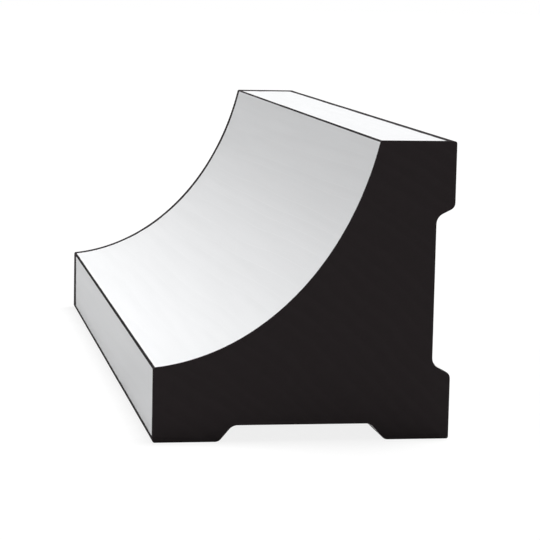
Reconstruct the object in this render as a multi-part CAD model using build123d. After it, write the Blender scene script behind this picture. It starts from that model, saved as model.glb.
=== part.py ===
from build123d import *
import math
import os

os.makedirs("parts", exist_ok=True)

# A short length of scotia moulding: one planed stick of timber with a hollow
# cove along its show side, a narrow flat at each edge of the cove, and two
# backs at right angles that are relieved so that they bear on lands only.
# The cove is part of an ellipse, tighter at its foot than at its head.
# Lengths are in millimetres and angles in degrees. X runs from the room to
# the wall, Y along the stick and Z up from the floor. The origin is on the
# floor, in the middle of the stick's footprint.

# Stick
length = 120.0
section_width = 40.0
section_height = 40.0

# Show side: the cove and the flats beside it
top_flat = 10.3
front_flat = 10.0
cove_half_width = 33.7
cove_half_height = 41.8
arris_round = 0.3

# Back that goes against the wall
wall_land = 8.8
wall_relief_depth = 2.5
wall_shoulder_slope = 63.0

# Back that goes on the floor
floor_land = 8.8
floor_relief_depth = 2.2
floor_shoulder_slope = 50.0

# Rounds of both reliefs, at the lip of a land and in the bottom of the relief
lip_round = 1.0
bottom_round = 1.5

room_side = -section_width / 2
wall_side = section_width / 2


def cove_centre(foot, head):
    """Place the ellipse of the cove so that it passes through foot and head.

    Divided by the half axes, the ellipse becomes a circle of radius one. Its
    centre lies on the perpendicular through the middle of the chord, on the
    open side of the cove.
    """
    start = Vector(foot.X / cove_half_width, foot.Y / cove_half_height)
    end = Vector(head.X / cove_half_width, head.Y / cove_half_height)
    chord = end - start
    open_side = Vector(-chord.Y, chord.X).normalized()
    to_centre = math.sqrt(1 - (chord.length / 2) ** 2)
    centre = (start + end) / 2 + open_side * to_centre
    return Vector(centre.X * cove_half_width, centre.Y * cove_half_height)


def relief_cutter(mouth_start, mouth_end, into_stick, depth, slope):
    """Cut a shallow trough between two lands and round its inner corners.

    The two mouth points are the inner edges of the lands, and into_stick is
    the unit vector from the mouth into the timber. The slope is that of a
    shoulder against the face of the land.
    """
    across = (mouth_end - mouth_start).normalized()
    shoulder_run = depth / math.tan(math.radians(slope))
    bottom_start = mouth_start + across * shoulder_run + into_stick * depth
    bottom_end = mouth_end - across * shoulder_run + into_stick * depth
    with BuildSketch() as trough:
        with BuildLine():
            Polyline(mouth_start, bottom_start, bottom_end, mouth_end, close=True)
        make_face()
        bottom_corners = [nearest_corner(trough, p) for p in (bottom_start, bottom_end)]
        fillet(bottom_corners, bottom_round)
    return trough.sketch


def nearest_corner(outline, point):
    """Give the corner of an outline that lies nearest to a point."""
    return outline.vertices().sort_by_distance(point)[0]


# Section, drawn with X to the right and Z up
cove_foot = Vector(room_side, front_flat)
cove_head = Vector(wall_side - top_flat, section_height)
wall_lips = [
    Vector(wall_side, wall_land),
    Vector(wall_side, section_height - wall_land),
]
floor_lips = [
    Vector(room_side + floor_land, 0),
    Vector(wall_side - floor_land, 0),
]

with BuildSketch() as section:
    Rectangle(section_width, section_height, align=(Align.CENTER, Align.MIN))
    with Locations(cove_centre(cove_foot, cove_head)):
        Ellipse(cove_half_width, cove_half_height, mode=Mode.SUBTRACT)
    fillet(section.vertices(), arris_round)
    add(
        relief_cutter(*wall_lips, Vector(-1, 0), wall_relief_depth, wall_shoulder_slope),
        mode=Mode.SUBTRACT,
    )
    add(
        relief_cutter(*floor_lips, Vector(0, 1), floor_relief_depth, floor_shoulder_slope),
        mode=Mode.SUBTRACT,
    )
    lip_corners = [nearest_corner(section, p) for p in wall_lips + floor_lips]
    fillet(lip_corners, lip_round)

# Stick, sawn square at both ends
scotia_moulding = extrude(Plane.XZ * section.sketch, length / 2, both=True)

export_step(scotia_moulding, "parts/scotia_moulding.step")
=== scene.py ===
"""A short length of scotia moulding: white primed timber with black sealed saw cuts.

The moulding is one stick of timber. Its mesh is drawn from the section's own
sizes, planed faces and saw cuts get a finish each, and the studio around it is
a plain pale floor under soft overhead light. Lengths are in metres. X runs from
the room to the wall, Y along the stick and Z up from the floor.
"""

import logging
import math
from dataclasses import dataclass, field
from enum import Enum

import bpy
import numpy as np
from mathutils import Euler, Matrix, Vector
from mathutils.geometry import delaunay_2d_cdt


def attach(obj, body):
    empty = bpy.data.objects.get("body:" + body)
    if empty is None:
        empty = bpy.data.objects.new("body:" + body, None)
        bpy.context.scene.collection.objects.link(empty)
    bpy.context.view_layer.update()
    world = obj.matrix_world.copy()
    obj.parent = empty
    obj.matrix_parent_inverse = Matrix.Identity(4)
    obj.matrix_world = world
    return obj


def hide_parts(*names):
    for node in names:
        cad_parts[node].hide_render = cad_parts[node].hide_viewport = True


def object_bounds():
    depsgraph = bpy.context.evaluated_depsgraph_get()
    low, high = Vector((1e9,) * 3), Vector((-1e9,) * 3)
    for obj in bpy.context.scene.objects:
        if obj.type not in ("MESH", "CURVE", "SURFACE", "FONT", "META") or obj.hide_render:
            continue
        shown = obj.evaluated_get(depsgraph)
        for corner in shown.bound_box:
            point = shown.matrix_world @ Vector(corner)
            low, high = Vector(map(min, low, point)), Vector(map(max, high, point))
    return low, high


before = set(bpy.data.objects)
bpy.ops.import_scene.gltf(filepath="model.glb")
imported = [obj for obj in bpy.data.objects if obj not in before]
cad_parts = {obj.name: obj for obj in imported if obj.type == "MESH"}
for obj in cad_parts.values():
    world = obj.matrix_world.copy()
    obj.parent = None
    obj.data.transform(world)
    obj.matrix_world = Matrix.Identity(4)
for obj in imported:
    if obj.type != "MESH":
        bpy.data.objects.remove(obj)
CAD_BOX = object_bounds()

log = logging.getLogger("scotia")

Socket = bpy.types.NodeSocket
Colour = tuple[float, float, float]
Span = tuple[float, float]

MM = 0.001

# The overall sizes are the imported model's own, to the nearest micrometre
WIDTH, LENGTH, HEIGHT = (round(float(high - low), 6) for low, high in zip(*CAD_BOX))

# The mesh attribute that tells how much a point lies in a relief
RECESS = "in_recess"


class Cut(Enum):
    """How a face of the stick was made. The value is its material's place on the mesh."""

    PLANED = 0
    SAWN = 1


class StickEnd(Enum):
    """The two ends of the stick. The value is the sign of its side along Y."""

    NEAR = -1
    FAR = 1


# Node trees

NUMBER, VECTOR = "NodeSocketFloat", "NodeSocketVector"

# The value round which a noise swings, and a ramp that runs downwards
NOISE_MIDDLE = 0.5
FADING = (1.0, 0.0)

# A Mix node repeats its sockets' names for each kind of value, so its colours go by number
MIX_SHARE, MIX_FIRST, MIX_SECOND, MIX_RESULT = 0, 6, 7, 2


class Graph:
    """Short calls for building a node tree, used by the groups and by the materials."""

    def __init__(self, tree: bpy.types.NodeTree) -> None:
        """Start on a tree, which is emptied."""
        self.tree = tree
        self.tree.nodes.clear()

    def add(self, kind: str, **settings: object) -> bpy.types.Node:
        """Add a node.

        Args:
            kind: The node's type name.
            **settings: Properties to set on the node.

        Returns:
            The new node.
        """
        node = self.tree.nodes.new(kind)
        for name, value in settings.items():
            setattr(node, name, value)
        return node

    def feed(self, socket: Socket, value: Socket | float | tuple) -> None:
        """Link a socket to another one, or set its own value.

        Args:
            socket: The input to fill.
            value: An output socket to link, or a plain value.
        """
        if isinstance(value, bpy.types.NodeSocket):
            self.tree.links.new(value, socket)
        else:
            socket.default_value = value

    def fill(
        self,
        kind: str,
        inputs: dict[str, Socket | float | tuple],
        **settings: object,
    ) -> bpy.types.NodeOutputs:
        """Add a node and fill its inputs.

        Args:
            kind: The node's type name.
            inputs: Values or sockets by the names of the inputs that they go to.
            **settings: Properties to set on the node.

        Returns:
            The node's outputs.
        """
        node = self.add(kind, **settings)
        for name, value in inputs.items():
            self.feed(node.inputs[name], value)
        return node.outputs

    def math(self, operation: str, *values: Socket | float) -> Socket:
        """Add a Math node.

        Args:
            operation: The operation, such as MULTIPLY.
            *values: One to three inputs.

        Returns:
            The result.
        """
        node = self.add("ShaderNodeMath", operation=operation)
        for socket, value in zip(node.inputs, values):
            self.feed(socket, value)
        return node.outputs[0]

    def total(self, *values: Socket | float) -> Socket | float:
        """Add up two or more values.

        Args:
            *values: The terms.

        Returns:
            Their sum.
        """
        result = values[0]
        for value in values[1:]:
            result = self.math("ADD", result, value)
        return result

    def weigh(self, *terms: tuple[Socket, float]) -> Socket:
        """Add up values, each times its weight."""
        return self.total(*(self.math("MULTIPLY", value, weight) for value, weight in terms))

    def spread(self, value: Socket, span: Span, to: Span = (0.0, 1.0)) -> Socket:
        """Map a value smoothly from one range to another.

        Args:
            value: The value to map.
            span: Where the ramp starts and where it ends.
            to: What the two ends become.

        Returns:
            The mapped value.
        """
        names = ("Value", "From Min", "From Max", "To Min", "To Max")
        given = dict(zip(names, (value, *span, *to)))
        return self.fill("ShaderNodeMapRange", given, interpolation_type="SMOOTHSTEP")["Result"]

    def here(self) -> Socket:
        """Give the place on the object, which its patterns read."""
        return self.add("ShaderNodeTexCoord").outputs["Object"]

    def split(self, vector: Socket) -> bpy.types.NodeOutputs:
        """Give the X, Y and Z of a vector."""
        return self.fill("ShaderNodeSeparateXYZ", {"Vector": vector})

    def join(self, x: Socket | float, y: Socket | float, z: Socket | float) -> Socket:
        """Make a vector of three values."""
        return self.fill("ShaderNodeCombineXYZ", {"X": x, "Y": y, "Z": z})[0]

    def noise(
        self,
        place: Socket,
        scale: float | Socket,
        detail: float = 2.0,
        roughness: float = 0.5,
    ) -> Socket:
        """Add a noise from 0 to 1, with a scale in features per metre and finer layers as its detail."""
        given = {"Vector": place, "Scale": scale, "Detail": detail, "Roughness": roughness}
        return self.fill("ShaderNodeTexNoise", given)[0]

    def swing(self, noise: Socket) -> Socket:
        """Shift a noise so that it swings round 0."""
        return self.math("SUBTRACT", noise, NOISE_MIDDLE)

    def blend(self, share: Socket | float, first: Socket | Colour, second: Socket | Colour) -> Socket:
        """Mix two colours.

        Args:
            share: How much of the second there is.
            first: The colour at a share of 0.
            second: The colour at a share of 1.

        Returns:
            The mixed colour.
        """
        node = self.add("ShaderNodeMix", data_type="RGBA")
        self.feed(node.inputs[MIX_SHARE], share)
        for number, colour in ((MIX_FIRST, first), (MIX_SECOND, second)):
            self.feed(node.inputs[number], (*colour, 1.0) if isinstance(colour, tuple) else colour)
        return node.outputs[MIX_RESULT]


# Effects


class SharedEffect:
    """An effect drawn as a node group, which a finish places with values of its own.

    A kind of effect names its inputs and outputs and draws its nodes in
    ``draw``. The group is built the first time that it is placed.
    """

    title = ""
    inputs: tuple[tuple[str, str], ...] = ()
    outputs: tuple[str, ...] = ()

    def draw(self, graph: Graph, given: dict[str, Socket]) -> dict[str, Socket]:
        """Draw the group's nodes on its inputs, and give the sockets that feed its outputs, by name."""
        raise NotImplementedError

    def group(self) -> bpy.types.NodeTree:
        """Give the node group, built once.

        Returns:
            The group's tree.
        """
        found = bpy.data.node_groups.get(self.title)
        if found is not None:
            return found
        tree = bpy.data.node_groups.new(self.title, "ShaderNodeTree")
        for name, kind in self.inputs:
            tree.interface.new_socket(name=name, in_out="INPUT", socket_type=kind)
        for name in self.outputs:
            tree.interface.new_socket(name=name, in_out="OUTPUT", socket_type=NUMBER)
        graph = Graph(tree)
        entry = graph.add("NodeGroupInput")
        made = self.draw(graph, {name: entry.outputs[name] for name, _ in self.inputs})
        leave = graph.add("NodeGroupOutput")
        for name in self.outputs:
            graph.feed(leave.inputs[name], made[name])
        return tree

    def place(self, graph: Graph, **values: Socket | float) -> bpy.types.NodeOutputs:
        """Place the group with these inputs, underscores for spaces, and give its outputs."""
        given = {name.replace("_", " "): value for name, value in values.items()}
        return graph.fill("ShaderNodeGroup", given, node_tree=self.group())


@dataclass(frozen=True)
class GrowthRings(SharedEffect):
    """Yearly rings of the tree round a pith that runs beside the stick.

    Across a saw cut they are arcs, and along a planed face they are the long
    lines of the grain, because it is one pattern in space. The pith is the X and
    Z where it passes the middle of the stick, and its lean is how far it drifts
    in X and Z for each metre along. A noise that sees only a small share of Y
    is drawn out along the grain by as much.
    """

    title = "growth_rings"
    inputs = (("Position", VECTOR), ("Ring Width", NUMBER), ("Wander", NUMBER), ("Seasons", NUMBER))
    outputs = ("Late Wood", "Fibre")

    pith: tuple[float, float] = (-0.052, -0.064)
    lean: tuple[float, float] = (0.035, -0.05)
    bend_scale: float = 55.0
    bend_share_of_y: float = 0.16
    year_scale: float = 210.0
    late_wood_grows: Span = (0.35, 0.86)
    late_wood_stops: Span = (0.93, 1.0)
    fibre_scale: float = 4200.0
    fibre_share_of_y: float = 0.02
    fibre_roughness: float = 0.6

    def draw(self, graph: Graph, given: dict[str, Socket]) -> dict[str, Socket]:
        """Draw the rings as distance from the pith, bent by slow noise.

        Args:
            graph: The group's own tree.
            given: Position, Ring Width, Wander, and Seasons, how uneven the years are.

        Returns:
            Late Wood, near 1 in the dense line that ends each ring, and Fibre, fine streaks
            along the grain.
        """
        x, y, z = graph.split(given["Position"])
        across = []
        for axis, start, drift in zip((x, z), self.pith, self.lean):
            centre = graph.math("MULTIPLY_ADD", y, drift, start)
            across.append(graph.math("SUBTRACT", axis, centre))
        distance = graph.math("SQRT", graph.total(*(graph.math("MULTIPLY", a, a) for a in across)))
        slow = graph.join(x, graph.math("MULTIPLY", y, self.bend_share_of_y), z)
        bending = graph.swing(graph.noise(slow, self.bend_scale))
        bend = graph.math("MULTIPLY", bending, given["Wander"])
        years = graph.noise(graph.join(distance, 0.0, 0.0), self.year_scale, detail=1.0)
        season = graph.math("MULTIPLY", graph.swing(years), given["Seasons"])
        rings = graph.math("DIVIDE", graph.total(distance, bend, season), given["Ring Width"])
        phase = graph.math("FRACT", rings)
        rise = graph.spread(phase, self.late_wood_grows)
        fall = graph.spread(phase, self.late_wood_stops, FADING)
        running = graph.join(x, graph.math("MULTIPLY", y, self.fibre_share_of_y), z)
        fibre = graph.noise(running, self.fibre_scale, roughness=self.fibre_roughness)
        return {"Late Wood": graph.math("MULTIPLY", rise, fall), "Fibre": fibre}


@dataclass(frozen=True)
class KnifeMarks(SharedEffect):
    """The shallow regular waves that a planer's turning knives leave across the feed."""

    title = "knife_marks"
    inputs = (("Position", VECTOR), ("Pitch", NUMBER))
    outputs = ("Wave",)

    uneven_scale: float = 90.0
    uneven_share_of_section: float = 0.2
    uneven_turns: float = 0.6

    def draw(self, graph: Graph, given: dict[str, Socket]) -> dict[str, Socket]:
        """Draw scallops along Y, a little uneven from knife to knife.

        Args:
            graph: The group's own tree.
            given: Position and Pitch.

        Returns:
            Wave, 0 at a crest and 1 in the middle of a scallop.
        """
        x, y, z = graph.split(given["Position"])
        x, z = (graph.math("MULTIPLY", axis, self.uneven_share_of_section) for axis in (x, z))
        uneven = graph.noise(graph.join(x, y, z), self.uneven_scale)
        early = graph.math("MULTIPLY", uneven, self.uneven_turns)
        turns = graph.total(graph.math("DIVIDE", y, given["Pitch"]), early)
        scallop = graph.math("ABSOLUTE", graph.math("SINE", graph.math("MULTIPLY", turns, math.pi)))
        return {"Wave": scallop}


@dataclass(frozen=True)
class BrushLay(SharedEffect):
    """Long soft streaks of a brushed or rolled coat, and the fine stipple that it dries with.

    Each cell of a fine pattern may hold a speck of dust. A cell's number is
    drawn from 0 to 1, and those past the rarity have one, which fades out over
    its edge.
    """

    title = "brush_lay"
    inputs = (("Position", VECTOR), ("Streaks", NUMBER), ("Stipple", NUMBER))
    outputs = ("Lay", "Nibs")

    streak_share_of_y: float = 0.035
    streak_roughness: float = 0.55
    streak_share: float = 0.7
    stipple_share: float = 0.3
    nib_scale: float = 620.0
    nib_rarity: float = 0.972
    nib_edge: Span = (0.04, 0.15)

    def draw(self, graph: Graph, given: dict[str, Socket]) -> dict[str, Socket]:
        """Draw the streaks and the stipple.

        Args:
            graph: The group's own tree.
            given: Position, and Streaks and Stipple in features per metre.

        Returns:
            Lay, the streaks and stipple together, and Nibs, rare specks of dust under the coat.
        """
        x, y, z = graph.split(given["Position"])
        drawn_out = graph.join(x, graph.math("MULTIPLY", y, self.streak_share_of_y), z)
        streaks = graph.noise(drawn_out, given["Streaks"], detail=3.0, roughness=self.streak_roughness)
        stipple = graph.noise(given["Position"], given["Stipple"])
        streaks = graph.math("MULTIPLY", streaks, self.streak_share)
        lay = graph.math("MULTIPLY_ADD", stipple, self.stipple_share, streaks)
        pattern = {"Vector": given["Position"], "Scale": self.nib_scale}
        cells = graph.fill("ShaderNodeTexVoronoi", pattern, feature="F1")
        chance = graph.fill("ShaderNodeSeparateColor", {"Color": cells["Color"]})[0]
        chosen = graph.math("GREATER_THAN", chance, self.nib_rarity)
        dot = graph.spread(cells["Distance"], self.nib_edge, FADING)
        return {"Lay": lay, "Nibs": graph.math("MULTIPLY", chosen, dot)}


@dataclass(frozen=True)
class Arris:
    """A long outer edge of the stick, and how far the dark line reaches from it."""

    x: float
    z: float
    across: float
    up: float


@dataclass(frozen=True)
class DarkArris(SharedEffect):
    """The thin dark line along each long edge, where the coat is rubbed and handled.

    How much its width varies and where it fades are shares of its reach.
    """

    title = "dark_arris"
    inputs = (("Position", VECTOR), ("Strength", NUMBER))
    outputs = ("Line",)

    arrises: tuple[Arris, ...]
    uneven_scale: float = 260.0
    uneven_span: Span = (0.2, 0.8)
    uneven_width: Span = (-0.04, 0.04)
    fade: Span = (0.85, 1.0)

    def draw(self, graph: Graph, given: dict[str, Socket]) -> dict[str, Socket]:
        """Draw a band round the nearest edge.

        Args:
            graph: The group's own tree.
            given: Position, and Strength, the line's share at its darkest.

        Returns:
            Line, the strength on the edge and 0 away from it.
        """
        x, y, z = graph.split(given["Position"])
        nearest: Socket | None = None
        for arris in self.arrises:
            across = graph.math("DIVIDE", graph.math("SUBTRACT", x, arris.x), arris.across)
            up = graph.math("DIVIDE", graph.math("SUBTRACT", z, arris.z), arris.up)
            squares = graph.math("MULTIPLY_ADD", up, up, graph.math("MULTIPLY", across, across))
            away = graph.math("SQRT", squares)
            nearest = away if nearest is None else graph.math("MINIMUM", nearest, away)
        noise = graph.noise(given["Position"], self.uneven_scale)
        uneven = graph.spread(noise, self.uneven_span, self.uneven_width)
        line = graph.spread(graph.math("ADD", nearest, uneven), self.fade, FADING)
        return {"Line": graph.math("MULTIPLY", line, given["Strength"])}


@dataclass(frozen=True)
class EndLap(SharedEffect):
    """The narrow band of end sealer that laps round onto the long faces.

    The brush reaches further over the outer flats than into the hollow. The
    blur is half the width over which the band ends, and the bead reaches back
    from there by a number of blurs.
    """

    title = "end_lap"
    inputs = (
        ("Position", VECTOR),
        ("Half Length", NUMBER),
        ("Near Lap", NUMBER),
        ("Far Lap", NUMBER),
        ("Outer Flat", NUMBER),
        ("Outer Reach", NUMBER),
        ("Unevenness", NUMBER),
    )
    outputs = ("Lap", "Bead")

    wave_scale: float = 420.0
    blur: float = 0.06 * MM
    bead_blurs: float = 5.0

    def draw(self, graph: Graph, given: dict[str, Socket]) -> dict[str, Socket]:
        """Draw the band at both ends of the stick.

        Args:
            graph: The group's own tree.
            given: Position, Half Length, Near Lap and Far Lap in metres, Outer Flat, 1 on a flat
                beside the hollow, Outer Reach, how many times wider the band is there, and
                Unevenness, the share by which its width varies.

        Returns:
            Lap, 1 under the sealer, and Bead, the raised rim that it dries with.
        """
        _, y, _ = graph.split(given["Position"])
        inward = graph.math("SUBTRACT", given["Half Length"], graph.math("ABSOLUTE", y))
        far = graph.math("GREATER_THAN", y, 0.0)
        extra = graph.math("SUBTRACT", given["Far Lap"], given["Near Lap"])
        hollow = graph.math("MULTIPLY_ADD", far, extra, given["Near Lap"])
        wider = graph.math("SUBTRACT", given["Outer Reach"], 1.0)
        times = graph.math("MULTIPLY_ADD", given["Outer Flat"], wider, 1.0)
        width = graph.math("MULTIPLY", hollow, times)
        wave = graph.swing(graph.noise(given["Position"], self.wave_scale))
        edge = graph.math("MULTIPLY", width, graph.math("MULTIPLY_ADD", wave, given["Unevenness"], 1.0))
        blurs = graph.math("DIVIDE", graph.math("SUBTRACT", inward, edge), self.blur)
        lap = graph.spread(blurs, (-1.0, 1.0), FADING)
        bead = graph.math("MULTIPLY", graph.spread(blurs, (-self.bead_blurs, -1.0)), lap)
        return {"Lap": lap, "Bead": bead}


# Finishes


def open_material(name: str) -> tuple[bpy.types.Material, Graph]:
    """Start a material.

    Args:
        name: The material's name.

    Returns:
        The material and its empty tree.
    """
    made = bpy.data.materials.new(name)
    made.use_nodes = True
    return made, Graph(made.node_tree)


def surface(
    graph: Graph,
    colour: Socket,
    roughness: Socket,
    specular: float,
    height: Socket,
) -> None:
    """End a material in its shader.

    Args:
        graph: The material's tree.
        colour: The base colour.
        roughness: The roughness.
        specular: The specular level, the same all over.
        height: The relief in millimetres.
    """
    bump = graph.fill("ShaderNodeBump", {"Strength": 1.0, "Distance": MM, "Height": height})
    given = {
        "Base Color": colour,
        "Roughness": roughness,
        "Specular IOR Level": specular,
        "Normal": bump["Normal"],
    }
    shader = graph.fill("ShaderNodeBsdfPrincipled", given)
    graph.fill("ShaderNodeOutputMaterial", {"Surface": shader["BSDF"]})


@dataclass(frozen=True)
class Softwood:
    """The timber itself: the rings that run through the whole stick, and its bare colour."""

    ring_width: float = 2.3 * MM
    ring_wander: float = 5.0 * MM
    ring_seasons: float = 4.5 * MM
    bare: Colour = (0.700, 0.610, 0.480)
    dark_grain: float = 0.8
    late_wood_share: float = 0.55
    fibre_share: float = 0.45

    def rings(self, graph: Graph, place: Socket) -> bpy.types.NodeOutputs:
        """Place the rings in a material, and give their late wood and fibre."""
        years = {"Ring_Width": self.ring_width, "Wander": self.ring_wander, "Seasons": self.ring_seasons}
        return GrowthRings().place(graph, Position=place, **years)

    def colour(self, graph: Graph, rings: bpy.types.NodeOutputs) -> Socket:
        """Colour the bare timber, darker in the late wood and along the fibre.

        Args:
            graph: The material's tree.
            rings: The rings as placed there.

        Returns:
            The colour.
        """
        fibre = graph.math("MULTIPLY", rings["Fibre"], self.fibre_share)
        grain = graph.math("MULTIPLY_ADD", rings["Late Wood"], self.late_wood_share, fibre)
        return graph.blend(grain, self.bare, tuple(self.dark_grain * part for part in self.bare))


@dataclass(frozen=True)
class BlackSealer:
    """The black end sealer. The laps take its colours and roughness, the cuts its specular level too."""

    thin: Colour = (0.0281, 0.0228, 0.0240)
    thick: Colour = (0.0251, 0.0202, 0.0213)
    roughness: float = 0.86
    specular: float = 0.10


@dataclass(frozen=True)
class PrimedTimber:
    """White primer over planed softwood, for the long faces.

    The primer is even on the show side. In the two reliefs it is thin, so a
    little of the timber's own colour comes through. The spans of the lay are
    those over which the looks change, scales are in features per metre, and
    heights are in millimetres.
    """

    timber: Softwood
    sealer: BlackSealer
    arrises: tuple[Arris, ...]
    half_length: float
    slot: str = "primed_timber"
    primer: Colour = (0.872, 0.878, 0.888)
    primer_low: Colour = (0.838, 0.844, 0.852)
    rubbed: Colour = (0.020, 0.017, 0.018)
    specular: float = 0.05
    roughness: float = 0.52
    roughness_swing: Span = (-0.05, 0.07)
    recess_roughness: float = 0.12
    streak_scale: float = 620.0
    stipple_scale: float = 2600.0
    lay_span: Span = (0.3, 0.7)
    brushed_span: Span = (0.35, 0.65)
    brushed_share: float = 0.4
    ring_share: float = 0.2
    bare_share: float = 0.34
    thin_share: Span = (0.5, 1.0)
    knife_pitch: float = 1.9 * MM
    line_strength: float = 1.0
    flat_margin: float = 0.2 * MM
    near_lap: float = 0.35 * MM
    far_lap: float = 2.0 * MM
    outer_reach: float = 2.1
    lap_unevenness: float = 0.4
    lay_height: float = 0.012
    nib_height: float = 0.018
    ring_height: float = 0.006
    fibre_height: float = 0.004
    knife_depth: float = 0.004
    bead_height: float = 0.02

    def end_lap(self, graph: Graph, place: Socket) -> bpy.types.NodeOutputs:
        """Lap the end sealer onto the long faces, wider on the flats beside the cove.

        Args:
            graph: The material's tree.
            place: Where to read.

        Returns:
            The lap and its bead.
        """
        x, _, z = graph.split(place)
        head, *_, foot = self.arrises
        top = graph.math("GREATER_THAN", z, head.z - self.flat_margin)
        front = graph.math("LESS_THAN", x, foot.x + self.flat_margin)
        return EndLap().place(
            graph,
            Position=place,
            Half_Length=self.half_length,
            Near_Lap=self.near_lap,
            Far_Lap=self.far_lap,
            Outer_Flat=graph.math("MAXIMUM", top, front),
            Outer_Reach=self.outer_reach,
            Unevenness=self.lap_unevenness,
        )

    def material(self) -> bpy.types.Material:
        """Build the material.

        Returns:
            The finished material.
        """
        made, graph = open_material(self.slot)
        place = graph.here()
        recess = graph.add("ShaderNodeAttribute", attribute_name=RECESS).outputs["Fac"]
        rings = self.timber.rings(graph, place)
        knives = KnifeMarks().place(graph, Position=place, Pitch=self.knife_pitch)
        scales = {"Streaks": self.streak_scale, "Stipple": self.stipple_scale}
        coat = BrushLay().place(graph, Position=place, **scales)
        edges = DarkArris(self.arrises)
        line = edges.place(graph, Position=place, Strength=self.line_strength)["Line"]
        lap = self.end_lap(graph, place)

        brushed = graph.spread(coat["Lay"], self.brushed_span)
        brushed_low = graph.math("MULTIPLY", brushed, self.brushed_share)
        low = graph.math("MULTIPLY_ADD", rings["Late Wood"], self.ring_share, brushed_low)
        white = graph.blend(low, self.primer, self.primer_low)
        thin = graph.math("MULTIPLY", recess, graph.spread(coat["Lay"], self.lay_span, self.thin_share))
        show_through = graph.math("MULTIPLY", thin, self.bare_share)
        white = graph.blend(show_through, white, self.timber.colour(graph, rings))
        black = graph.blend(brushed, self.sealer.thick, self.sealer.thin)
        colour = graph.blend(lap["Lap"], graph.blend(line, white, self.rubbed), black)

        gloss, dull = (self.roughness + swing for swing in self.roughness_swing)
        show_side = graph.spread(coat["Lay"], self.lay_span, (gloss, dull))
        coated = graph.math("MULTIPLY_ADD", recess, self.recess_roughness, show_side)
        dark = graph.math("MAXIMUM", lap["Lap"], line)
        duller = graph.math("SUBTRACT", self.sealer.roughness, coated)
        roughness = graph.math("MULTIPLY_ADD", dark, duller, coated)

        height = graph.weigh(
            (coat["Lay"], self.lay_height),
            (coat["Nibs"], self.nib_height),
            (rings["Late Wood"], self.ring_height),
            (rings["Fibre"], self.fibre_height),
            (knives["Wave"], -self.knife_depth),
            (lap["Bead"], self.bead_height),
        )
        surface(graph, colour, roughness, self.specular, height)
        return made


@dataclass(frozen=True)
class SealedSawCut:
    """Black sealer brushed onto a square saw cut, which still shows the rings under it.

    Scales are in features per metre and heights in millimetres.
    """

    timber: Softwood
    sealer: BlackSealer
    slot: str = "sealed_saw_cut"
    streak_scale: float = 900.0
    stipple_scale: float = 1900.0
    least_thin: float = 0.05
    lay_share: float = 0.7
    ring_share: float = 0.2
    soaked_span: Span = (0.2, 0.8)
    roughness_swing: float = 0.04
    ring_height: float = 0.004
    lay_height: float = 0.03
    nib_height: float = 0.02

    def material(self) -> bpy.types.Material:
        """Build the material.

        Returns:
            The finished material.
        """
        made, graph = open_material(self.slot)
        place = graph.here()
        rings = self.timber.rings(graph, place)
        scales = {"Streaks": self.streak_scale, "Stipple": self.stipple_scale}
        coat = BrushLay().place(graph, Position=place, **scales)

        lay = graph.math("MULTIPLY_ADD", coat["Lay"], self.lay_share, self.least_thin)
        soaked = graph.math("MULTIPLY_ADD", rings["Late Wood"], self.ring_share, lay)
        colour = graph.blend(soaked, self.sealer.thick, self.sealer.thin)
        dull = self.sealer.roughness + self.roughness_swing
        gloss = self.sealer.roughness - self.roughness_swing
        roughness = graph.spread(soaked, self.soaked_span, (dull, gloss))
        height = graph.weigh(
            (rings["Late Wood"], self.ring_height),
            (coat["Lay"], self.lay_height),
            (coat["Nibs"], self.nib_height),
        )
        surface(graph, colour, roughness, self.sealer.specular, height)
        return made


# The moulding


@dataclass(frozen=True)
class Corner:
    """A corner of the section before it is rounded."""

    x: float
    z: float
    rounding: float
    in_recess: bool = False


@dataclass(frozen=True)
class Cove:
    """The hollow of the scotia, an arc of an upright ellipse from its foot to its head.

    Angles are those of the circle that the ellipse was before it was stretched.
    """

    centre: Vector
    half_width: float
    half_height: float
    foot: float
    head: float

    @classmethod
    def between(cls, foot: Vector, head: Vector, half_width: float, half_height: float) -> "Cove":
        """Place the ellipse so that it passes through two points.

        Args:
            foot: The lower end of the cove.
            head: The upper end.
            half_width: The ellipse's half axis across.
            half_height: Its half axis upwards.

        Returns:
            The cove.
        """
        start, end = (Vector((p.x / half_width, p.y / half_height)) for p in (foot, head))
        chord = end - start
        open_side = Vector((-chord.y, chord.x)).normalized()
        middle = (start + end) / 2 + open_side * math.sqrt(1 - chord.length_squared / 4)
        angles = (math.atan2(p.y - middle.y, p.x - middle.x) for p in (start, end))
        centre = Vector((middle.x * half_width, middle.y * half_height))
        return cls(centre, half_width, half_height, *angles)

    def at(self, angle: float) -> Vector:
        """Give the place at an angle."""
        spoke = Vector((math.cos(angle) * self.half_width, math.sin(angle) * self.half_height))
        return self.centre + spoke

    def speed(self, angle: float) -> Vector:
        """Give how fast the place moves with the angle, towards the head."""
        return Vector((-math.sin(angle) * self.half_width, math.cos(angle) * self.half_height))

    def points(self, past_foot: float, before_head: float, step: float) -> list[Vector]:
        """Draw the arc.

        Args:
            past_foot: How far from the foot it starts.
            before_head: How far from the head it ends.
            step: About how far the points are apart.

        Returns:
            The points, from the foot's side to the head's.
        """
        low = self.foot + past_foot / self.speed(self.foot).length
        high = self.head - before_head / self.speed(self.head).length
        count = round((high - low) * (self.half_width + self.half_height) / 2 / step)
        return [self.at(low + (high - low) * i / count) for i in range(count + 1)]


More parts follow.
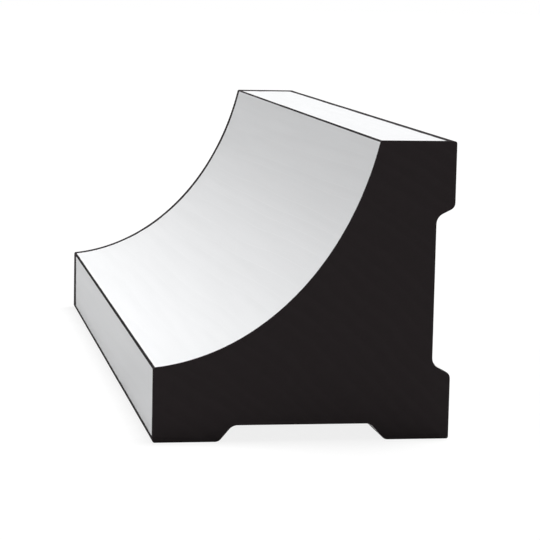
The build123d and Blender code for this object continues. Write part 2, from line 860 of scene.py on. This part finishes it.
@dataclass
class ScotiaSection:
    """The scotia's cross-section, how far its dark lines reach, and how finely it is drawn."""

    width: float = WIDTH
    height: float = HEIGHT
    top_flat: float = 10.3 * MM
    front_flat: float = 10.0 * MM
    cove_half_width: float = 33.7 * MM
    cove_half_height: float = 41.8 * MM
    arris_round: float = 0.3 * MM
    wall_land: float = 8.8 * MM
    wall_relief_depth: float = 2.5 * MM
    wall_shoulder_slope: float = 63.0
    floor_land: float = 8.8 * MM
    floor_relief_depth: float = 2.2 * MM
    floor_shoulder_slope: float = 50.0
    lip_round: float = 1.0 * MM
    bottom_round: float = 1.5 * MM
    line_reach: float = 0.235 * MM
    foot_line_reach: float = 0.3 * MM
    toe_line_reach: float = 0.85 * MM
    wall_line_reach: float = 1.4 * MM
    flat_step: float = 1.0 * MM
    cove_step: float = 0.7 * MM
    round_steps: int = 5
    guard: float = 0.05 * MM

    def arrises(self) -> tuple[Arris, ...]:
        """Give the long outer edges as they were before they were eased.

        Returns:
            The cove's head, the top, the heel at the wall, the toe and the cove's foot.
        """
        right, reach = self.width / 2, self.line_reach
        return (
            Arris(right - self.top_flat, self.height, reach, reach),
            Arris(right, self.height, self.wall_line_reach, reach),
            Arris(right, 0.0, reach, reach),
            Arris(-right, 0.0, reach, self.toe_line_reach),
            Arris(-right, self.front_flat, self.foot_line_reach, self.foot_line_reach),
        )

    def corners(self) -> list[Corner]:
        """List the corners from the cove's head round the back to its foot.

        Returns:
            The corners in order: over the top, down the wall side and along the floor.
        """
        right = self.width / 2
        head, top, heel, toe, foot = (Corner(a.x, a.z, self.arris_round) for a in self.arrises())
        wall_run = self.wall_relief_depth / math.tan(math.radians(self.wall_shoulder_slope))
        floor_run = self.floor_relief_depth / math.tan(math.radians(self.floor_shoulder_slope))
        wall_bottom = right - self.wall_relief_depth
        upper, lower = self.height - self.wall_land, self.wall_land
        inner = right - self.floor_land
        return [
            head,
            top,
            Corner(right, upper, self.lip_round),
            Corner(wall_bottom, upper - wall_run, self.bottom_round, True),
            Corner(wall_bottom, lower + wall_run, self.bottom_round, True),
            Corner(right, lower, self.lip_round),
            heel,
            Corner(inner, 0.0, self.lip_round),
            Corner(inner - floor_run, self.floor_relief_depth, self.bottom_round, True),
            Corner(floor_run - inner, self.floor_relief_depth, self.bottom_round, True),
            Corner(-inner, 0.0, self.lip_round),
            toe,
            foot,
        ]

    def cove(self) -> Cove:
        """Give the cove between the first arris and the last."""
        head, *_, foot = (Vector((arris.x, arris.z)) for arris in self.arrises())
        return Cove.between(foot, head, self.cove_half_width, self.cove_half_height)

    def rounded(self, corner: Corner, before: Vector, after: Vector) -> list[Vector]:
        """Round one corner.

        Args:
            corner: The corner.
            before: The unit direction in which the outline arrives.
            after: The unit direction in which it leaves.

        Returns:
            Points along the round, from where it starts to where it ends.
        """
        at = Vector((corner.x, corner.z))
        turn = before.angle_signed(after)
        run = corner.rounding * math.tan(abs(turn) / 2)
        start = at - before * run
        inward = Vector((-before.y, before.x)) * (-1 if turn > 0 else 1)
        centre = start + inward * corner.rounding
        spoke = start - centre
        points = []
        for i in range(self.round_steps + 1):
            angle = -turn * i / self.round_steps
            c, s = math.cos(angle), math.sin(angle)
            turned = Vector((spoke.x * c - spoke.y * s, spoke.x * s + spoke.y * c))
            points.append(centre + turned)
        return points

    def straight(self, start: Vector, end: Vector) -> list[Vector]:
        """Divide a flat between two rounds, with a point close to each to keep their shading apart.

        Args:
            start: Where the flat begins.
            end: Where it ends.

        Returns:
            The points between them.
        """
        way = end - start
        count = max(1, round((way.length - 2 * self.guard) / self.flat_step))
        first, last = self.guard / way.length, 1 - self.guard / way.length
        return [start + way * (first + (last - first) * i / count) for i in range(count + 1)]

    def outline(self) -> tuple[np.ndarray, np.ndarray]:
        """Draw the whole outline, clockwise as seen from the near end.

        Returns:
            The points as X and Z, and for each how much it lies in a relief, from 0 to 1.
        """
        corners = self.corners()
        cove = self.cove()
        leave_foot = cove.speed(cove.foot).normalized()
        reach_head = cove.speed(cove.head).normalized()
        places = [Vector((c.x, c.z)) for c in corners]
        ways = [(b - a).normalized() for a, b in zip(places, places[1:])]
        rounds = [
            self.rounded(corner, before, after)
            for corner, before, after in zip(corners, [reach_head, *ways], [*ways, leave_foot])
        ]
        points: list[Vector] = []
        recess: list[float] = []
        for i, arc in enumerate(rounds):
            points += arc
            recess += [float(corners[i].in_recess)] * len(arc)
            if i + 1 < len(rounds):
                flat = self.straight(arc[-1], rounds[i + 1][0])
                points += flat
                recess += list(np.linspace(corners[i].in_recess, corners[i + 1].in_recess, len(flat)))
        past_foot = (rounds[-1][-1] - places[-1]).length + self.guard
        before_head = (rounds[0][0] - places[0]).length + self.guard
        hollow = cove.points(past_foot, before_head, self.cove_step)
        points += hollow
        recess += [0.0] * len(hollow)
        return np.array(points), np.array(recess)


@dataclass(frozen=True)
class Waviness:
    """The very slight waviness of planed timber, from its surface inwards.

    A wave is in radians for each metre of X, Y and Z.
    """

    depth: float = 0.02 * MM
    fade: float = 6.0 * MM
    long_wave: tuple[float, float, float] = (40.0, 61.0, 0.0)
    cross_wave: tuple[float, float, float] = (0.0, 83.0, -55.0)
    ripple: tuple[float, float, float] = (0.0, 190.0, 90.0)
    ripple_share: float = 0.5

    def sunk(self, points: np.ndarray, half_length: float) -> np.ndarray:
        """Give how far each place is sunk.

        Args:
            points: Places as rows of X, Y and Z.
            half_length: Half the stick's length. The waviness fades out towards both ends.

        Returns:
            How far each place lies inside the true surface.
        """
        x, y, z = points.T
        waves = (self.long_wave, self.cross_wave, self.ripple)
        long_turn, cross_turn, ripple_turn = (a * x + b * y + c * z for a, b, c in waves)
        wave = np.sin(long_turn) * np.cos(cross_turn) + self.ripple_share * np.sin(ripple_turn)
        peak = 1 + self.ripple_share
        fade = np.clip((half_length - np.abs(y)) / self.fade, 0, 1)
        return self.depth * (wave + peak) / (2 * peak) * fade


@dataclass(frozen=True)
class SawMarks:
    """Tooth marks of a circular saw, as arcs round the middle of its blade.

    The blade stands above the stick, aside towards the room, and its rim runs
    past the floor side. Every few marks it beats a little deeper.
    """

    radius: float = 127.0 * MM
    aside: float = 45.0 * MM
    overrun: float = 12.0 * MM
    pitch: float = 0.85 * MM
    depth: float = 0.035 * MM
    beat_share: float = 0.6
    beat_marks: float = 3.7
    beat_start: float = 1.0

    def sunk(self, x: np.ndarray, z: np.ndarray) -> np.ndarray:
        """Give how far each place is sunk.

        Args:
            x: Places across the cut.
            z: Places up the cut.

        Returns:
            How far each place lies inside the plane of the cut.
        """
        turns = np.hypot(x + self.aside, z - self.radius + self.overrun) * 2 * math.pi / self.pitch
        beat = np.sin(turns / self.beat_marks + self.beat_start)
        mark = np.sin(turns) + self.beat_share * beat
        peak = 1 + self.beat_share
        return self.depth * (mark + peak) / (2 * peak)


@dataclass
class Stick:
    """The moulding itself: the section carried along the length, with a saw cut at each end.

    The sides and the upper part are wavy. They start at a share of the half
    width and of the height. The clearance of the places inside a cut from its
    rim is a share of their spacing.
    """

    section: ScotiaSection = field(default_factory=ScotiaSection)
    waviness: Waviness = Waviness()
    saw_marks: SawMarks = SawMarks()
    length: float = LENGTH
    row_step: float = 1.0 * MM
    cut_step: float = 0.55 * MM
    cut_clearance: float = 0.45
    sides_from: float = 0.9
    upper_from: float = 0.25
    node: str = "scotia_moulding"

    def rows(self) -> np.ndarray:
        """Give the places along Y at which the section is repeated.

        Returns:
            The Y of each row, closer together at the ends.
        """
        half = self.length / 2
        last = half - self.section.guard
        inner = np.linspace(-last, last, round(self.length / self.row_step))
        return np.concatenate([[-half], inner, [half]])

    def planed_points(self, outline: np.ndarray, rows: np.ndarray) -> np.ndarray:
        """Repeat the outline along the stick, a little wavy on its sides and its upper part.

        Args:
            outline: The section's outline as X and Z.
            rows: The Y of each row.

        Returns:
            The places as X, Y and Z, row by row.
        """
        grid = np.empty((len(rows), len(outline), 3))
        grid[:, :, 0] = outline[:, 0]
        grid[:, :, 1] = rows[:, None]
        grid[:, :, 2] = outline[:, 1]
        points = grid.reshape(-1, 3)
        x, _, z = points.T
        sunk = self.waviness.sunk(points, self.length / 2)
        moved = points.copy()
        moved[:, 0] -= np.sign(x) * sunk * (np.abs(x) > self.sides_from * self.section.width / 2)
        moved[:, 2] -= sunk * (z > self.upper_from * self.section.height)
        return moved

    def clear_of(self, outline: np.ndarray, grid: np.ndarray) -> np.ndarray:
        """Tell which places lie inside the outline and not too near it.

        Args:
            outline: The section's outline as X and Z.
            grid: The places to test.

        Returns:
            True for each place that is kept.
        """
        start, end = outline, np.roll(outline, -1, axis=0)
        inside = np.zeros(len(grid), bool)
        near = np.full(len(grid), np.inf)
        for a, b, way in zip(start, end, end - start):
            crosses = (a[1] > grid[:, 1]) != (b[1] > grid[:, 1])
            if way[1] != 0:
                inside ^= crosses & (grid[:, 0] < a[0] + (grid[:, 1] - a[1]) * way[0] / way[1])
            t = np.clip((grid - a) @ way / (way @ way), 0, 1)
            near = np.minimum(near, np.linalg.norm(grid - a - t[:, None] * way, axis=1))
        return inside & (near > self.cut_clearance * self.cut_step)

    def cut_points(self, outline: np.ndarray) -> tuple[np.ndarray, list[tuple[int, ...]]]:
        """Fill the section with even triangles.

        Args:
            outline: The section's outline as X and Z.

        Returns:
            The places inside the outline, and triangles that count the outline's points first
            and then those.
        """
        rise = self.cut_step * math.sqrt(3) / 2
        half = self.section.width / 2
        inside = []
        for row, z in enumerate(np.arange(rise, self.section.height, rise)):
            for x in np.arange(-half + self.cut_step / 2 * (1 + row % 2), half, self.cut_step):
                inside.append((x, z))
        grid = np.array(inside)
        grid = grid[self.clear_of(outline, grid)]
        count = len(outline)
        places = [Vector(p) for p in [*outline, *grid]]
        rim = [(i, (i + 1) % count) for i in range(count)]
        keep_inside, tolerance = 1, 1e-9
        found = delaunay_2d_cdt(places, rim, [list(range(count))[::-1]], keep_inside, tolerance)
        vertices, _, faces, origins, *_ = found
        assert len(vertices) == len(places), "the outline crosses itself"
        triangles = [tuple(origins[i][0] for i in face) for face in faces]
        return grid, triangles

    def mesh(self) -> bpy.types.Mesh:
        """Build the closed mesh.

        Returns:
            The mesh, with its faces marked as planed or sawn.
        """
        outline, recess = self.section.outline()
        rows = self.rows()
        count = len(outline)
        points = [self.planed_points(outline, rows)]
        faces = [
            (row * count + a, row * count + b, (row + 1) * count + b, (row + 1) * count + a)
            for row in range(len(rows) - 1)
            for a, b in ((i, (i + 1) % count) for i in range(count))
        ]
        cuts = [Cut.PLANED.value] * len(faces)
        grid, triangles = self.cut_points(outline)
        depth = self.saw_marks.sunk(*grid.T)
        total = len(rows) * count
        for end in StickEnd:
            rim = 0 if end is StickEnd.NEAR else (len(rows) - 1) * count
            y = end.value * (self.length / 2 - depth)
            points.append(np.stack([grid[:, 0], y, grid[:, 1]], axis=1))
            for face in triangles:
                placed = tuple(rim + i if i < count else total + i - count for i in face)
                faces.append(placed if end is StickEnd.NEAR else placed[::-1])
            cuts += [Cut.SAWN.value] * len(triangles)
            total += len(grid)
        made = bpy.data.meshes.new(f"{self.node}_mesh")
        made.from_pydata(np.concatenate(points), [], faces)
        made.validate()
        made.polygons.foreach_set("material_index", cuts)
        made.polygons.foreach_set("use_smooth", [True] * len(faces))
        values = np.zeros(len(made.vertices), np.float32)
        values[: len(rows) * count] = np.tile(recess, len(rows))
        made.attributes.new(RECESS, "FLOAT", "POINT").data.foreach_set("value", values)
        self.sharpen_rims(made, count, len(rows))
        made.update()
        return made

    def sharpen_rims(self, made: bpy.types.Mesh, count: int, rows: int) -> None:
        """Keep the edge between the long faces and each saw cut crisp.

        Args:
            made: The mesh.
            count: How many points the outline has.
            rows: How many rows the long faces have.
        """
        ends = {0, rows - 1}
        sharp = []
        for edge in made.edges:
            a, b = edge.vertices
            in_row = a // count == b // count and a // count in ends
            sharp.append(in_row and (b - a) % count in (1, count - 1))
        made.attributes.new("sharp_edge", "BOOLEAN", "EDGE").data.foreach_set("value", sharp)

    def build(self) -> bpy.types.Object:
        """Build the stick, dress it and set it in the frame.

        Returns:
            The finished piece.
        """
        piece = bpy.data.objects.new("moulding", self.mesh())
        bpy.context.scene.collection.objects.link(piece)
        timber, sealer = Softwood(), BlackSealer()
        planed = PrimedTimber(timber, sealer, self.section.arrises(), self.length / 2)
        piece.data.materials.append(planed.material())
        piece.data.materials.append(SealedSawCut(timber, sealer).material())
        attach(piece, "root")
        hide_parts(self.node)
        return piece


# The studio


@dataclass(frozen=True)
class Lamp:
    """A broad light far away. It stands off the upright towards the wall and the far end.

    Its spread and its two leans are in degrees.
    """

    name: str
    strength: float
    spread: float
    towards_wall: float
    towards_far: float

    def hang(self) -> bpy.types.Object:
        """Hang the lamp.

        Returns:
            The lamp.
        """
        light = bpy.data.lights.new(self.name, "SUN")
        light.energy = self.strength
        light.angle = math.radians(self.spread)
        lamp = bpy.data.objects.new(self.name, light)
        leans = (-self.towards_far, self.towards_wall, 0.0)
        lamp.rotation_euler = Euler(tuple(math.radians(lean) for lean in leans))
        bpy.context.scene.collection.objects.link(lamp)
        return lamp


@dataclass
class Studio:
    """The plain floor, the soft light and the camera.

    The floor has two looks. To the light that it throws on the object it is pale
    and plain. To the eye it is lifted to white, and only a small share of it
    takes light, so that it keeps a faint shadow. The camera's turn is in degrees.
    """

    white: Colour = (1.0, 1.0, 1.0)
    backdrop_strength: float = 1.0
    sky_strength: float = 0.10
    floor_size: float = 6.0
    floor_colour: Colour = (0.88, 0.88, 0.88)
    floor_lift: float = 0.84
    floor_share: Colour = (0.18, 0.18, 0.18)
    lamps: tuple[Lamp, ...] = (
        Lamp("overhead", strength=2.80, spread=26.0, towards_wall=12.0, towards_far=8.0),
        Lamp("fill", strength=0.52, spread=26.0, towards_wall=-45.0, towards_far=8.0),
    )
    lens: float = 150.0
    sensor: float = 36.0
    camera_place: tuple[float, float, float] = (-0.055682, -0.348191, 0.061996)
    camera_turn: tuple[float, float, float] = (82.389, -1.2175, -9.8537)

    def either(self, graph: Graph, lighting: Socket, shown: Socket) -> Socket:
        """Give one shader to the rays that light the object and one to those that show the background.

        Args:
            graph: The tree to add the nodes to.
            lighting: What lights the object.
            shown: What is seen, also in gloss and glass.

        Returns:
            The two together.
        """
        path = graph.add("ShaderNodeLightPath").outputs
        seen = graph.math("MAXIMUM", path["Is Camera Ray"], path["Is Glossy Ray"])
        seen = graph.math("MAXIMUM", seen, path["Is Transmission Ray"])
        node = graph.add("ShaderNodeMixShader")
        for socket, value in zip(node.inputs, (seen, lighting, shown)):
            graph.feed(socket, value)
        return node.outputs[0]

    def world(self) -> None:
        """Light the scene evenly from all round, before a white background."""
        made = bpy.data.worlds.new("studio")
        made.use_nodes = True
        graph = Graph(made.node_tree)
        sky, backdrop = (
            graph.fill("ShaderNodeBackground", {"Color": (*self.white, 1.0), "Strength": strength})[0]
            for strength in (self.sky_strength, self.backdrop_strength)
        )
        graph.fill("ShaderNodeOutputWorld", {"Surface": self.either(graph, sky, backdrop)})
        bpy.context.scene.world = made

    def floor_material(self) -> bpy.types.Material:
        """Build the floor's material.

        Returns:
            The material.
        """
        made, graph = open_material("studio_floor")
        pale, shaded = (
            graph.fill("ShaderNodeBsdfDiffuse", {"Color": (*colour, 1.0)})[0]
            for colour in (self.floor_colour, self.floor_share)
        )
        lift = graph.fill("ShaderNodeEmission", {"Strength": self.floor_lift})[0]
        lifted = graph.add("ShaderNodeAddShader")
        for socket, value in zip(lifted.inputs, (shaded, lift)):
            graph.feed(socket, value)
        floor = self.either(graph, pale, lifted.outputs[0])
        graph.fill("ShaderNodeOutputMaterial", {"Surface": floor})
        return made

    def floor(self) -> bpy.types.Object:
        """Lay the floor.

        Returns:
            The floor.
        """
        half = self.floor_size / 2
        mesh = bpy.data.meshes.new("studio_floor")
        signs = ((-1, -1), (1, -1), (1, 1), (-1, 1))
        mesh.from_pydata([(half * x, half * y, 0.0) for x, y in signs], [], [(0, 1, 2, 3)])
        mesh.materials.append(self.floor_material())
        piece = bpy.data.objects.new("studio_floor", mesh)
        bpy.context.scene.collection.objects.link(piece)
        return piece

    def camera(self) -> bpy.types.Object:
        """Set the camera at the picture's point of view.

        Returns:
            The camera.
        """
        made = bpy.data.cameras.new("camera")
        made.lens = self.lens
        made.sensor_width = self.sensor
        camera = bpy.data.objects.new("camera", made)
        camera.location = self.camera_place
        camera.rotation_euler = Euler(tuple(math.radians(a) for a in self.camera_turn))
        bpy.context.scene.collection.objects.link(camera)
        bpy.context.scene.camera = camera
        return camera

    def build(self) -> list[bpy.types.Object]:
        """Build the floor, the light and the camera.

        Returns:
            The floor, the lamps and the camera.
        """
        bpy.context.scene.view_settings.view_transform = "Standard"
        self.world()
        return [self.floor(), *(lamp.hang() for lamp in self.lamps), self.camera()]


def write_sizes() -> None:
    """Do nothing: no sizes are written.
    """
    log.info("sizes written")


def main() -> None:
    """Build the moulding and the studio, and report each piece."""
    logging.basicConfig(level=logging.INFO, format="%(name)s: %(message)s")
    moulding = Stick().build()
    log.info("%s built with %d faces", moulding.name, len(moulding.data.polygons))
    for piece in Studio().build():
        log.info("%s set up", piece.name)
    write_sizes()


if __name__ == "__main__":
    main()
